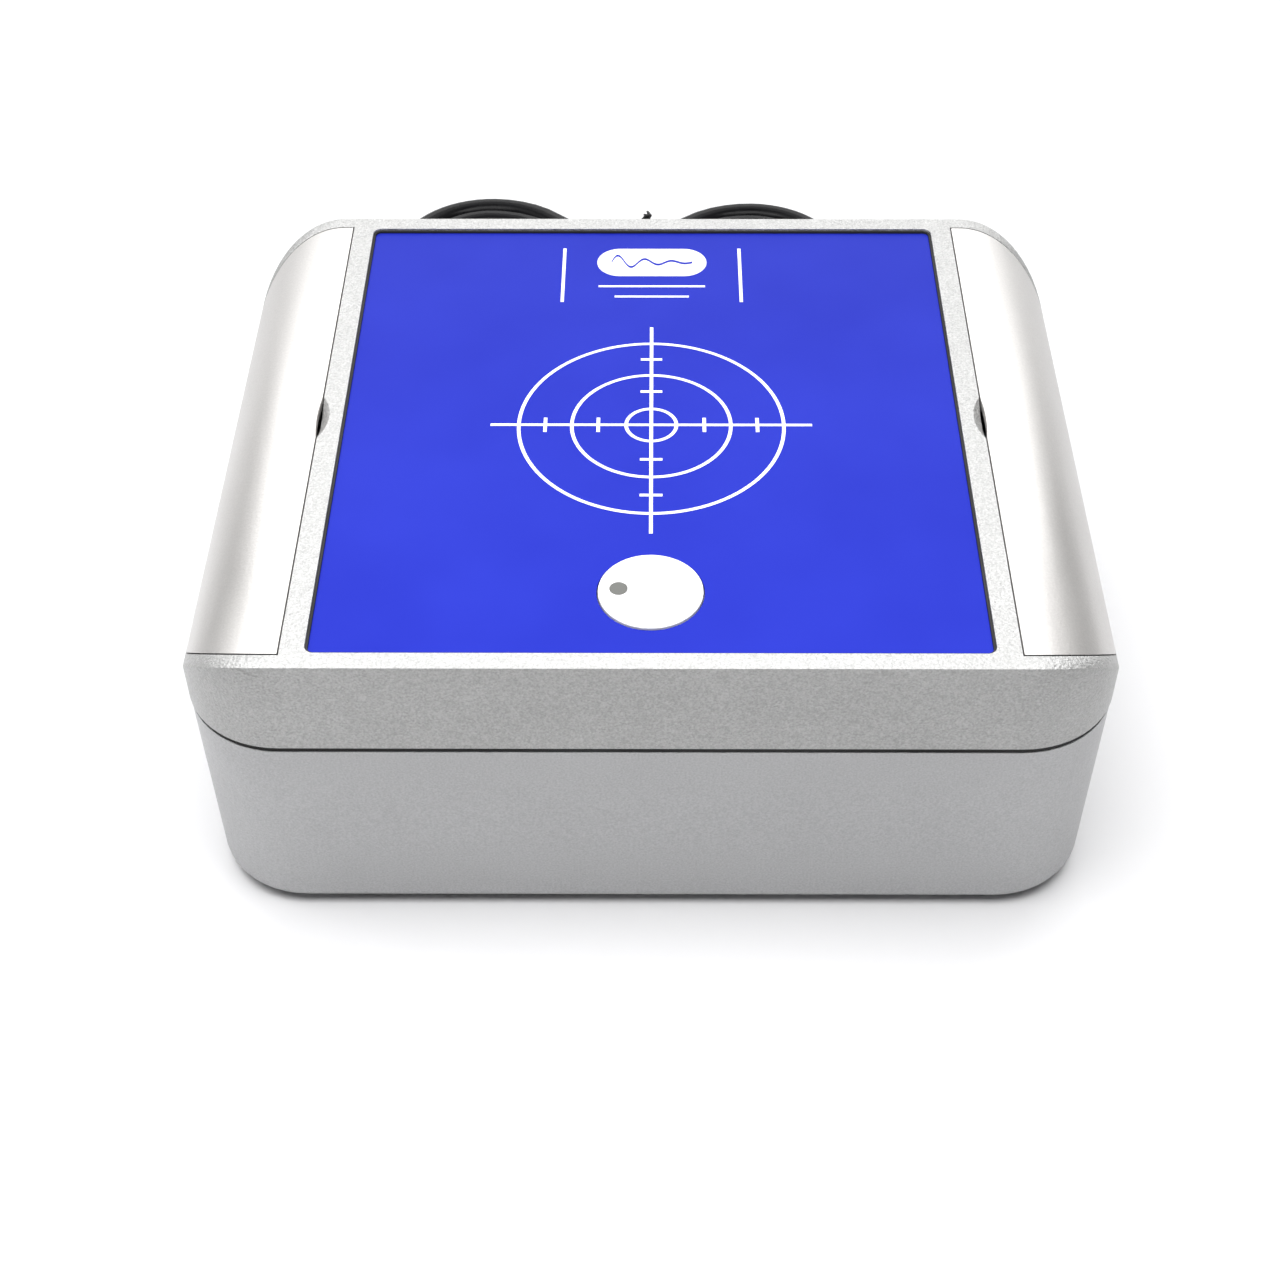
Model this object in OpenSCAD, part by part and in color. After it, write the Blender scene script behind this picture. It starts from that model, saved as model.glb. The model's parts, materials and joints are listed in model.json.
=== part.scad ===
// Pulse demagnetizer for a watchmaker's bench.
// A two-part instrument case with hinged side covers holds a flat work coil
// under a target panel.  Pressing the round button discharges the storage
// capacitors through the coil as a dying oscillation.
// Frame: origin on the table under the middle of the case, +X to the right,
// +Y to the back, +Z up.  Millimetres.

/* [Case] */
// Width of the case over its side covers
case_w = 199; // [196:0.5:204]
// Depth of the case from front to back
case_d = 158; // [156:0.5:160]
// Height from the table to the top of the lid
case_h = 78; // [76:0.5:80]
// Radius of the case's upright corners and of the rounded sides of the lid
corner_r = 22; // [20:0.5:23]
// Height of the joint between base and lid
seam_z = 53.2; // [52.6:0.2:53.8]
// Wall thickness of base and lid
wall = 3; // [2.5:0.1:3.2]

/* [Side covers] */
// Distance from the middle of the case to the inner edge of a cover
cover_x = 75; // [74.5:0.1:76]
// Length of a cover from front to back
cover_d = 150; // [149:0.5:151]
// Skin thickness of a cover
cover_t = 2.2; // [2:0.1:2.5]
// Running gap around a cover
cover_gap = 0.3; // [0.25:0.05:0.4]
// Radius of the round hinge edge of a cover
hinge_r = 2.4; // [2.3:0.05:2.4]
// Radius of the hinge pins
hinge_pin_r = 1; // [0.9:0.05:1.1]

/* [Panel] */
// Width of the recess for the front panel
recess_w = 140; // [138:0.5:141]
// Depth of the recess from front to back
recess_d = 149.2; // [146:0.2:150]
// How far the panel's top lies below the lid
panel_sink = 1; // [0.8:0.1:1.2]
// Gap between the panel and the edge of its recess
panel_gap = 0.6; // [0.5:0.1:0.8]
// Radius of the target's outer ring
target_r = 30; // [26:0.5:32]
// Width of the printed lines
line_w = 0.8; // [0.6:0.05:1]

/* [Button] */
// Radius of the push button
button_r = 11; // [10:0.5:11.5]
// How far the button travels
button_travel = 0.8; // [0.4:0.1:0.8]
// Position of the button from the middle of the case
button_y = -55.9; // [-57:0.1:-55]

/* [Mains lead] */
// Diameter of the mains lead
cord_d = 6.4; // [6:0.1:6.4]

/* [Hidden] */

eps = 0.01;
foot_h = 1.5;
seal_t = 1.4;
base_top = seam_z - seal_t / 2;
lid_bottom = seam_z + seal_t / 2;
corner_x = case_w / 2 - corner_r;
corner_y = case_d / 2 - corner_r;

// Base: a step smaller than the lid at the joint, and drafted to the floor
base_step = 0.2;
base_draft = 0.6;
base_edge_r = 3.5;
seal_in = base_step + 0.2;
seal_w = 2.4;
partition_x = 71.5;
partition_t = 2.5;
insert_r = 2.8;
insert_h = 8;
lid_screw_x = 87;
lid_screw_y = 58;
wall_hole_y = 38;
wall_hole_r = 2.25;
wall_head_r = 4.5;
foot_x = 78;
foot_y = 58;
foot_r = 6.5;

// Lid
roof_t = 2.4;
recess_z = case_h - 1.6;
recess_r = 2;
roof_z = recess_z - roof_t;
lid_wall = 2.8;
channel_z = lid_bottom + 2.1;
inner_wall_x = 72.5;

// Finger notch: a sloping cut in the lid's bridge and a slighter one in the cover
notch_r = 14.3;
notch_depth = 2;
notch_h = 1.9;
grip_r = 49;
grip_depth = 0.5;

// Hinges: the cover's round lower edge turns on pins in the lid's end bosses
hinge_x = case_w / 2 - 0.15 - hinge_r;
hinge_z = channel_z + hinge_r + 0.2;
hinge_half = corner_y - cover_gap - 3.7;
boss_half = hinge_half + cover_gap;
boss_r = hinge_r + 0.9;
hinge_pin_l = 24;
end_plane = case_h - cover_d / 2;

// Panel and print
panel_t = 0.6;
gasket_h = 1.1;
panel_top = case_h - panel_sink;
print_t = 0.06;
target_y = -1.5;
badge_y = 61.5;

// Button
cap_top = panel_top + 0.4;
cap_t = 1.4;
stem_r = 2.5;
stem_end = 68;
led_x = -6.7;
led_y = 0.7;
led_r = 1.9;
boss_z = 71;
pocket_z = cap_top - cap_t - button_travel - 0.2;
board_z = 60;
board_t = 1.6;
board_top = board_z + board_t;

// Work coil, hung from the lid under the target
coil_r = 36.5;
coil_core_r = 19.5;
former_r = 38;
former_z = 61.9;
former_top = roof_z - 0.1;
flange_t = 1.5;
coil_ear_r = 43;

// Main circuit board on the floor of the base
main_z = 10;
main_top = main_z + board_t;
main_w = 130;
main_d = 104;
main_y = -8;
main_screw_x = 59;
main_screw_y = 46;

// Mains lead: out of the back wall, then into a tied hank behind the case
cord_r = cord_d / 2;
exit_x = 60;
exit_z = 16;
exit_y = 108;
clip_y = 73.4;
clip_t = 1.6;
flange_y = case_d / 2 - 0.5;
hank_x = -10;
hank_y = 159.3;
hank_turn = -1.8;
hank_half = 40;
loop_r = 4 * cord_d;
waist = 1.5 * cord_d;
hank_h = 2 * cord_d;
tie_x = 5;

// Route of the lead from the strain relief to the hank
lead_in = [
    [60, 108, 16], [60, 113, 16], [60, 118, 16], [59.9, 123, 15.6],
    [59.5, 128, 14.4], [58.8, 133, 12.4], [57.8, 137.6, 9.6],
    [56.8, 142.2, 6.8], [56.1, 147.2, 4.8], [55.7, 152.2, 3.6],
    [55.6, 157.2, 3.2]
];
// Route of the lead from the hank to the plug
lead_out = [
    [-75.6, 161.4, 9.6], [-75.7, 157, 9.2], [-75.8, 152, 8.1],
    [-75.9, 147.4, 6.4], [-76, 142.8, 4.7], [-76, 137.8, 3.6],
    [-76, 133, 3.2], [-75, 126, 3.2], [-72.5, 119.6, 3.2],
    [-68.3, 114.4, 3.2], [-63, 110.2, 3.2], [-56.7, 107.8, 3.2],
    [-50.5, 107, 3.3], [-45.5, 107, 4.1], [-41, 107, 5.4], [-37, 107, 6.5],
    [-33.5, 107, 7], [-30, 107, 7]
];
plug_x = -30;
plug_y = 107;
plug_z = 7;
plug_w = 35;

// ---------------------------------------------------------------- helpers

module rounded_rect(w, d, r) {
    square([w - 2 * r, d], center = true);
    square([w, d - 2 * r], center = true);
    for (x = [-1, 1], y = [-1, 1])
        translate([x * (w / 2 - r), y * (d / 2 - r)]) circle(r, $fn = 96);
}

// The same rounded rectangle, smaller by t all round
module inset_rect(w, d, r, t) {
    rounded_rect(w - 2 * t, d - 2 * t, r - t);
}

module rounded_plate(w, d, r, z, h) {
    translate([0, 0, z]) linear_extrude(h) rounded_rect(w, d, r);
}

module ring_2d(r_out, r_in) {
    difference() {
        circle(r_out, $fn = 96);
        circle(r_in, $fn = 96);
    }
}

module block(x, y, z, w, d, h) {
    translate([x - w / 2, y - d / 2, z]) cube([w, d, h]);
}

module rod(x, y, z, r, h, sides = 48) {
    translate([x, y, z]) cylinder(r = r, h = h, $fn = sides);
}

// A cylinder along +Y that starts at y
module rod_y(x, y, z, r, l) {
    translate([x, y, z]) rotate([-90, 0, 0]) cylinder(r = r, h = l, $fn = 48);
}

// A cylinder along +X that starts at x
module rod_x(x, y, z, r, l) {
    translate([x, y, z]) rotate([0, 90, 0]) cylinder(r = r, h = l, $fn = 48);
}

// Copies at the four corners of a rectangle
module corners(x, y) {
    for (sx = [-1, 1], sy = [-1, 1]) translate([sx * x, sy * y, 0]) children();
}

module both_ends() {
    for (s = [0, 1]) mirror([0, s, 0]) children();
}

// A pan-head screw whose head stands on z = 0, with a hexagon socket
module screw(r, l, head_r, head_h) {
    difference() {
        union() {
            cylinder(r = head_r, h = head_h, $fn = 48);
            translate([0, 0, -l]) cylinder(r = r, h = l, $fn = 32);
        }
        translate([0, 0, head_h * 0.4])
            cylinder(r = head_r * 0.5, h = head_h, $fn = 6);
    }
}

// The same screw with its head downwards, for parts hung from the lid
module screw_up(r, l, head_r, head_h) {
    mirror([0, 0, 1]) screw(r, l, head_r, head_h);
}

// The lid's cross-section from the front, set in by t
module side_profile(t = 0) {
    square_w = 2 * corner_x;
    translate([-square_w / 2, 0]) square([square_w, case_h - t]);
    translate([-case_w / 2 + t, 0]) square([case_w - 2 * t, case_h - corner_r]);
    for (s = [-1, 1])
        translate([s * corner_x, case_h - corner_r]) circle(corner_r - t, $fn = 128);
}

module along_y(l) {
    rotate([90, 0, 0]) linear_extrude(l, center = true) children();
}

// The lid's outer form: upright rounded corners and rounded sides
module lid_form() {
    intersection() {
        rounded_plate(case_w, case_d, corner_r, lid_bottom, case_h);
        along_y(case_d + 2) side_profile();
    }
}

// One corner of the base as a turned form, set in by t
module base_corner(t) {
    r_top = corner_r - base_step - t;
    r_low = r_top - base_draft;
    edge = base_edge_r - t / 2;
    z0 = foot_h + t;
    z1 = base_top + (t > 0 ? 1 : 0);
    arc = [for (a = [-90 : 15 : 0])
        [r_low - edge + edge * cos(a), z0 + edge + edge * sin(a)]];
    rotate_extrude($fn = 48)
        polygon(concat([[0, z0]], arc, [[r_top, z1], [0, z1]]));
}

module base_form(t) {
    hull() corners(corner_x, corner_y) base_corner(t);
}

// A round tube swept along a list of points
function unit(v) = v / norm(v);
function heading(p, i) = unit(p[min(i + 1, len(p) - 1)] - p[max(i - 1, 0)]);
function ring_at(c, t, up, r, n) =
    let (u = unit(cross(up, t)), v = cross(t, u))
    [for (k = [0 : n - 1]) c + r * (cos(360 * k / n) * u + sin(360 * k / n) * v)];

module tube(p, r, n, up = [0, 0, 1]) {
    m = len(p);
    skin = [for (i = [0 : m - 1]) each ring_at(p[i], heading(p, i), up, r, n)];
    sides = [for (i = [0 : m - 2], k = [0 : n - 1])
        let (a = i * n + k, b = i * n + (k + 1) % n) [a, a + n, b + n, b]];
    first = [for (k = [0 : n - 1]) k];
    last = [for (k = [n - 1 : -1 : 0]) (m - 1) * n + k];
    polyhedron(skin, concat([first, last], sides), convexity = 4);
}

// ------------------------------------------------------------------- case

// Partitions, screw pillars and standoffs that rise inside the base
module base_inside() {
    for (s = [-1, 1])
        block(s * (partition_x + partition_t / 2), 0, 0, partition_t, case_d, case_h);
    corners(lid_screw_x, lid_screw_y) cylinder(r = 5.5, h = case_h, $fn = 48);
    corners(lid_screw_x, wall_hole_y) cylinder(r = 6.5, h = case_h, $fn = 48);
    translate([0, main_y, 0])
        corners(main_screw_x, main_screw_y) cylinder(r = 3.5, h = main_z, $fn = 48);
}

module base_shell() color([0.70, 0.71, 0.73]) {
    difference() {
        base_form(0);
        difference() {
            base_form(wall);
            base_inside();
        }
        corners(lid_screw_x, lid_screw_y) rod(0, 0, base_top - 16, insert_r, 20);
        corners(lid_screw_x, wall_hole_y) rod(0, 0, 0, wall_hole_r, 10);
        corners(lid_screw_x, wall_hole_y) rod(0, 0, foot_h + 5, wall_head_r, case_h);
        corners(foot_x, foot_y) rod(0, 0, 0, foot_r, foot_h + 1);
        translate([0, main_y, 0])
            corners(main_screw_x, main_screw_y) rod(0, 0, main_z - 5, 1.25, 6);
        rod_y(exit_x, case_d / 2 - 8, exit_z, 6, 10);
    }
}

// The open trough under a side cover
module channel() {
    translate([0, 0, channel_z]) linear_extrude(case_h) difference() {
        union() {
            rounded_rect(case_w, cover_d + 2 * cover_gap, corner_r);
            translate([corner_x, -boss_half])
                square([corner_r + 10, 2 * boss_half]);
        }
        translate([-case_w, -case_d]) square([case_w + cover_x, 2 * case_d]);
    }
}

module both_sides() {
    for (s = [0, 1]) mirror([s, 0, 0]) children();
}

// Solid ends of the trough that hold the hinge pins
module hinge_bosses() {
    intersection() {
        lid_form();
        both_sides() both_ends() {
            rod_y(hinge_x, boss_half, hinge_z, boss_r, 14);
            translate([hinge_x - boss_r, boss_half, lid_bottom + 0.5])
                cube([2 * boss_r, 14, hinge_z - lid_bottom - 0.5]);
        }
    }
}

module lid_inside() {
    rod(0, button_y, boss_z, 14, roof_z - boss_z + 1);
    for (a = [45 : 90 : 315])
        translate([coil_ear_r * cos(a), target_y + coil_ear_r * sin(a), 0])
            rod(0, 0, former_z + flange_t, 3.5, roof_z - former_z);
    for (x = [-19, 19], y = [-68, -43])
        rod(x, y, board_top, 3, roof_z - board_top + 1);
}

module lid_shell() color([0.74, 0.75, 0.77]) {
    difference() {
        union() {
            difference() {
                lid_form();
                rounded_plate(2 * inner_wall_x, case_d - 2 * lid_wall, 6,
                    lid_bottom - 1, roof_z - lid_bottom + 1);
                both_sides() channel();
                rounded_plate(recess_w, recess_d, recess_r, recess_z, 5);
            }
            hinge_bosses();
            lid_inside();
        }
        both_sides() translate([cover_x + notch_r - notch_depth, 0, case_h - notch_h])
            cylinder(r1 = notch_r - notch_h, r2 = notch_r + 1, h = notch_h + 1, $fn = 96);
        both_sides() both_ends()
            rod_y(hinge_x, boss_half - 1, hinge_z, hinge_pin_r, 9.3);
        corners(lid_screw_x, lid_screw_y) rod(0, 0, 50, 2.25, 10);
        corners(lid_screw_x, wall_hole_y) rod(0, 0, 50, wall_head_r, 10);
        rod(0, button_y, pocket_z, button_r + 0.3, 10);
        rod(0, button_y, boss_z - 1, stem_r + 0.06, 10);
        rod(led_x, button_y + led_y, boss_z - 1, led_r + 0.3, 10);
        for (a = [45 : 90 : 315])
            translate([coil_ear_r * cos(a), target_y + coil_ear_r * sin(a), 0])
                rod(0, 0, former_z, 1.5, 10);
        for (x = [-19, 19], y = [-68, -43]) rod(x, y, board_z, 1.25, 8);
    }
}

module lid_seal() color([0.05, 0.05, 0.05])
    translate([0, 0, base_top]) linear_extrude(seal_t) difference() {
        inset_rect(case_w, case_d, corner_r, seal_in);
        inset_rect(case_w, case_d, corner_r, seal_in + seal_w);
    }

module rubber_feet() color([0.08, 0.08, 0.08])
    corners(foot_x, foot_y) rotate_extrude($fn = 48)
        polygon([[0, 0], [foot_r - 1, 0], [foot_r - 0.1, 0.9],
            [foot_r - 0.1, foot_h + 1], [0, foot_h + 1]]);

module threaded_inserts() color([0.80, 0.62, 0.25])
    corners(lid_screw_x, lid_screw_y) difference() {
        rod(0, 0, base_top - insert_h, insert_r, insert_h);
        rod(0, 0, base_top - insert_h - 1, 2, insert_h + 2);
    }

module lid_screws() color([0.75, 0.75, 0.76])
    corners(lid_screw_x, lid_screw_y) translate([0, 0, channel_z])
        screw(2, 11, 3.8, 2.6);

// ------------------------------------------------------------ side covers

// Right-hand cover: a rounded skin with a round hinge edge
module side_cover() {
    difference() {
        union() {
            difference() {
                intersection() {
                    along_y(case_d) difference() {
                        side_profile();
                        side_profile(cover_t);
                    }
                    rotate([90, 0, 90]) linear_extrude(case_w) polygon([
                            [-(hinge_z - end_plane), hinge_z],
                            [hinge_z - end_plane, hinge_z],
                            [case_h + 1 - end_plane, case_h + 1],
                            [-(case_h + 1 - end_plane), case_h + 1]]);
                }
                block(0, 0, 0, 2 * (cover_x + cover_gap), 2 * case_d, 2 * case_h);
                rod(cover_x + cover_gap + grip_depth - grip_r, 0, case_h - 5,
                    grip_r, 10, 192);
                both_ends()
                    rod_y(hinge_x, hinge_half, hinge_z, boss_r + cover_gap, 20);
            }
            rod_y(hinge_x, -hinge_half, hinge_z, hinge_r, 2 * hinge_half);
        }
        both_ends() rod_y(hinge_x, hinge_half - 16, hinge_z, hinge_pin_r + 0.05, 17);
    }
}

module right_cover() color([0.74, 0.75, 0.77]) side_cover();
module left_cover() color([0.74, 0.75, 0.77]) mirror([1, 0, 0]) side_cover();

module hinge_pins() {
    both_ends() rod_y(hinge_x, boss_half + 8.2 - hinge_pin_l, hinge_z,
        hinge_pin_r, hinge_pin_l);
}

module right_hinge_pins() color([0.78, 0.78, 0.80]) hinge_pins();
module left_hinge_pins() color([0.78, 0.78, 0.80]) mirror([1, 0, 0]) hinge_pins();

// ------------------------------------------------------- panel and button

module front_panel() color([0.14, 0.16, 0.78]) difference() {
    translate([0, 0, recess_z]) linear_extrude(panel_t)
        inset_rect(recess_w, recess_d, recess_r, panel_gap);
    rod(0, button_y, recess_z - 1, button_r + 0.3, 3);
}

// Black rubber frame round the panel, lower than the lid's top
module panel_gasket() color([0.05, 0.05, 0.05])
    translate([0, 0, recess_z]) linear_extrude(gasket_h) difference() {
        inset_rect(recess_w, recess_d, recess_r, 0.05);
        inset_rect(recess_w, recess_d, recess_r, panel_gap - 0.05);
    }

module printed() {
    translate([0, 0, panel_top]) linear_extrude(print_t) children();
}

module target_print() color("white") translate([0, target_y, 0]) printed() {
    reach = 36.4;
    tick = 5;
    for (r = [target_r, target_r * 0.6, target_r * 0.19])
        ring_2d(r + line_w / 2, r - line_w / 2);
    square([2 * reach, line_w], center = true);
    square([line_w, 2 * reach], center = true);
    for (a = [0 : 90 : 270], d = [target_r * 0.4, target_r * 0.8])
        rotate(a) translate([d, 0]) square([line_w, tick], center = true);
}

// A wave that dies away over its length, as the coil current does
function wave(l, h) = [for (i = [0 : 60])
    [l * (i / 60 - 0.5), h * exp(-2.2 * i / 60) * sin(360 * 3 * i / 60)]];

module wave_line(l, h, w) {
    p = wave(l, h);
    polygon(concat([for (q = p) q + [0, w / 2]],
        [for (i = [len(p) - 1 : -1 : 0]) p[i] - [0, w / 2]]));
}

module badge_print() color("white") translate([0, badge_y, 0]) printed() {
    difference() {
        rounded_rect(27, 11.5, 5.7);
        wave_line(20, 3.4, 0.9);
    }
    for (s = [-1, 1]) translate([s * 21.7, -5.25]) square([line_w, 22.3], center = true);
    translate([0, -10]) square([26, 0.7], center = true);
    translate([0, -14.2]) square([18, 0.7], center = true);
}

module badge_wave() color([0.14, 0.16, 0.78]) translate([0, badge_y, 0]) printed()
    wave_line(20, 3.4, 0.9);

module button_cap() color([0.95, 0.95, 0.95]) translate([0, button_y, 0]) {
    difference() {
        union() {
            rod(0, 0, cap_top - cap_t, button_r, cap_t, 96);
            rod(0, 0, stem_end, stem_r, cap_top - stem_end - 0.5);
        }
        rod(led_x, led_y, cap_top - cap_t - 1, led_r, 5);
        difference() {
            rod(0, 0, boss_z - 1, stem_r + 1, 0.7);
            rod(0, 0, boss_z - 2, stem_r - 0.4, 4);
        }
    }
}

module led_window() color([0.55, 0.56, 0.58])
    rod(led_x, button_y + led_y, cap_top - 8, led_r, 8);

module button_clip() color([0.6, 0.6, 0.6]) translate([0, button_y, boss_z - 1])
    linear_extrude(0.7) ring_2d(4.2, stem_r - 0.4);

module switch_plunger() color([0.15, 0.15, 0.16])
    rod(0, button_y, board_top + 2.6, 2.2, stem_end - board_top - 2.6);

module key_switch() color([0.2, 0.2, 0.21]) difference() {
    block(0, button_y, board_top, 12, 12, 4.6);
    rod(0, button_y, board_top + 1.2, 2.26, 10);
}

module status_led() color([0.2, 0.75, 0.3]) translate([led_x - 1, button_y + led_y, 0])
    rotate_extrude($fn = 48) polygon(concat(
        [[0, board_top], [1.6, board_top], [1.6, board_top + 4]],
        [for (a = [0 : 15 : 90]) [1.4 * cos(a), board_top + 5 + 1.4 * sin(a)]]));

module button_board() color([0.05, 0.35, 0.2]) difference() {
    block(0, -55.5, board_z, 46, 32, board_t);
    for (x = [-19, 19], y = [-68, -43]) rod(x, y, board_z - 1, 1.3, 4);
}

module button_board_screws() color([0.78, 0.78, 0.8])
    for (x = [-19, 19], y = [-68, -43]) translate([x, y, board_z])
        screw_up(1.25, 7, 2.4, 1.6);

// -------------------------------------------------------------- work coil

module coil_former() color([0.12, 0.12, 0.12]) translate([0, target_y, 0]) difference() {
    union() {
        rod(0, 0, former_z, coil_core_r, former_top - former_z);
        rod(0, 0, former_z, former_r, flange_t);
        rod(0, 0, former_top - flange_t, former_r, flange_t);
        for (a = [45 : 90 : 315]) rotate(a) {
            block(coil_ear_r - 4, 0, former_z, 8, 9, flange_t);
            rod(coil_ear_r, 0, former_z, 4.5, flange_t);
        }
    }
    rod(0, 0, former_z - 1, coil_core_r - 2.5, 20);
    for (a = [45 : 90 : 315]) rotate(a) rod(coil_ear_r, 0, former_z - 1, 1.6, 5);
}

module work_coil() color([0.72, 0.40, 0.20]) translate([0, target_y, 0]) difference() {
    rod(0, 0, former_z + flange_t, coil_r, former_top - former_z - 2 * flange_t, 96);
    rod(0, 0, former_z, coil_core_r, 20);
}

module coil_screws() color([0.78, 0.78, 0.8]) translate([0, target_y, 0])
    for (a = [45 : 90 : 315])
        translate([coil_ear_r * cos(a), coil_ear_r * sin(a), former_z])
            screw_up(1.5, 9, 2.9, 2);

// ------------------------------------------------------------- main board

module main_board() color([0.05, 0.35, 0.2]) translate([0, main_y, 0]) difference() {
    block(0, 0, main_z, main_w, main_d, board_t);
    corners(main_screw_x, main_screw_y) rod(0, 0, main_z - 1, 1.4, 4);
}

module board_screws() color([0.78, 0.78, 0.8]) translate([0, main_y, main_top])
    corners(main_screw_x, main_screw_y) screw(1.25, 6, 2.6, 1.8);

module storage_capacitors() color([0.12, 0.14, 0.35])
    for (x = [-44, -16], y = [-42, -14]) translate([x, y, main_top])
        rotate_extrude($fn = 64) polygon([
            [0, 0], [12.2, 0], [12.6, 0.6], [12.6, 2.4], [12.1, 3], [12.1, 3.6],
            [12.6, 4.2], [12.6, 34.4], [12, 35], [11, 35], [10.8, 34.6], [0, 34.6]]);

module bridge_rectifier() color([0.1, 0.1, 0.1]) {
    block(-2, 24, main_top + 3, 22, 4.6, 14);
    for (x = [-9.6, -4.6, 0.4, 5.4]) block(x, 24, main_top, 1, 0.8, 3 + eps);
}

module heat_sink() color([0.35, 0.35, 0.36]) {
    block(38, -34, main_top, 40, 4, 34);
    for (i = [0 : 6]) block(19 + 38 * i / 6, -43.5, main_top, 1.6, 15 + eps, 34);
}

module power_thyristor() color([0.1, 0.1, 0.1]) {
    block(38, -29.5, main_top + 8, 15.6, 5, 20);
    for (x = [32.5, 38, 43.5]) block(x, -29.5, main_top, 1.2, 0.8, 8 + eps);
}

module charge_resistor() color([0.85, 0.83, 0.78]) {
    block(38, -14, main_top + 1.5, 36, 9, 9);
    for (s = [-1, 1]) {
        block(38 + s * 19, -14, main_top + 5.6, 2 + eps, 0.8, 0.8);
        block(38 + s * 19.6, -14, main_top, 0.8, 0.8, 6.4);
    }
}

module mains_transformer() color([0.15, 0.3, 0.55])
    block(38, 14, main_top, 40, 33, 26);

module film_capacitor() color([0.85, 0.7, 0.15])
    block(4, 37, main_top, 18, 7.5, 14);

module control_chip() color([0.08, 0.08, 0.08]) {
    block(6, -14, main_top + 0.6, 6.4, 12, 3.2);
    for (s = [-1, 1], i = [-2 : 1]) {
        block(6 + s * 3.7, -13 + 2.54 * i, main_top + 1.8, 1 + eps, 0.8, 0.6);
        block(6 + s * 4.1, -13 + 2.54 * i, main_top, 0.4, 0.8, 2);
    }
}

module fuse_clips() color([0.75, 0.75, 0.72])
    for (x = [-45, -29]) difference() {
        block(x, 16, main_top, 4, 7.4, 7);
        rod_x(x - 3, 16, main_top + 4.2, 2.6, 6);
        block(x, 16, main_top + 4.2, 6, 3.6, 8);
    }

module glass_fuse() color([0.8, 0.85, 0.85]) rod_x(-47, 16, main_top + 4.2, 2.6, 20);

module terminal_block() color([0.1, 0.45, 0.2]) difference() {
    block(-44, 36, main_top, 20, 9, 11);
    for (x = [-49, -44, -39]) {
        rod(x, 36, main_top + 6, 1.9, 10);
        rod_y(x, 36, main_top + 3.4, 1.3, 10);
    }
}

// Flat cable from the main board up to the button board
module ribbon_cable() color([0.6, 0.6, 0.62]) translate([-5, 0, 0])
    rotate([90, 0, 90]) linear_extrude(10) polygon([
        [-56, main_top], [-55, main_top], [-55, 24], [-65, 50], [-65, board_z],
        [-66, board_z], [-66, 49.8], [-56, 23.8]]);

module coil_leads() color([0.75, 0.1, 0.1]) for (x = [6, 12])
    tube([[x, -35, former_z], [x, -35, 56], [x + 1, -34, 46], [x + 2, -30, 32],
        [x + 2, -27, 22], [x + 2, -27, main_top]], 1, 8, up = [1, 0, 0]);

module mains_leads() color([0.2, 0.35, 0.7]) for (i = [0, 1])
    tube([[exit_x - 1.6 + 3.2 * i, 70, exit_z], [exit_x - 1.6 + 3.2 * i, 68, exit_z],
        [exit_x - 4 + 4 * i, 64.5 - 2 * i, exit_z], [exit_x - 14, 60 - 4 * i, exit_z],
        [20, 56 - 4 * i, exit_z], [-10, 54 - 4 * i, exit_z], [-34, 51 - 4 * i, exit_z],
        [-48 + 4.5 * i, 47.5 - 2 * i, main_top + 3.4], [-49 + 5 * i, 43, main_top + 3.4],
        [-49 + 5 * i, 40.5, main_top + 3.4]], 1, 8);

// -------------------------------------------------------------- mains lead

module strain_relief() color([0.05, 0.05, 0.05])
    translate([exit_x, 0, exit_z]) rotate([-90, 0, 0]) rotate_extrude($fn = 48)
        polygon(concat(
            [[0, 70], [6, 70], [6, clip_y], [4.9, clip_y],
             [4.9, clip_y + clip_t], [6, clip_y + clip_t],
             [6, flange_y], [8.5, flange_y], [8.5, flange_y + 2], [5.6, 81.4]],
            [for (i = [0 : 5]) each [
                [5.6 - 0.2 * i, 83 + 4.2 * i], [4.7 - 0.15 * i, 83.4 + 4.2 * i],
                [4.7 - 0.15 * i, 85.6 + 4.2 * i], [5.4 - 0.2 * i, 86 + 4.2 * i]]],
            [[4.2, exit_y], [0, exit_y]]));

module relief_clip() color([0.7, 0.7, 0.7])
    translate([exit_x, clip_y + clip_t, exit_z]) rotate([90, 0, 0]) linear_extrude(clip_t)
        difference() {
            rounded_rect(17, 15, 2);
            circle(4.9, $fn = 48);
            translate([0, 10]) square([9.8, 20], center = true);
        }

module mains_cord_start() color([0.06, 0.06, 0.06]) tube(lead_in, cord_r, 12);
module mains_cord_end() color([0.06, 0.06, 0.06]) tube(lead_out, cord_r, 12);

// Half width of the hank's outer strand at a distance x from its waist:
// two equal arcs from the waist to the full width of the end loops
function hank_width(x) =
    let (h = loop_r - waist, r = (pow(hank_half, 2) + pow(h, 2)) / (4 * h),
         a = min(abs(x), hank_half))
    a < hank_half / 2
        ? waist + r - sqrt(r * r - a * a)
        : loop_r - r + sqrt(r * r - pow(hank_half - a, 2));

// A half outline: the end loop on +X, then the far side towards -X
function hank_side() = concat(
    [for (a = [-84 : 12 : 84])
        [hank_half + (loop_r + cord_r) * cos(a), (loop_r + cord_r) * sin(a)]],
    [for (x = [hank_half : -5 : -hank_half]) [x, hank_width(x) + cord_r]]);

module cord_hank() color([0.06, 0.06, 0.06])
    translate([hank_x, hank_y, 0]) rotate(hank_turn) linear_extrude(hank_h)
        polygon(concat(hank_side(), [for (q = hank_side()) -q]));

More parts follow.
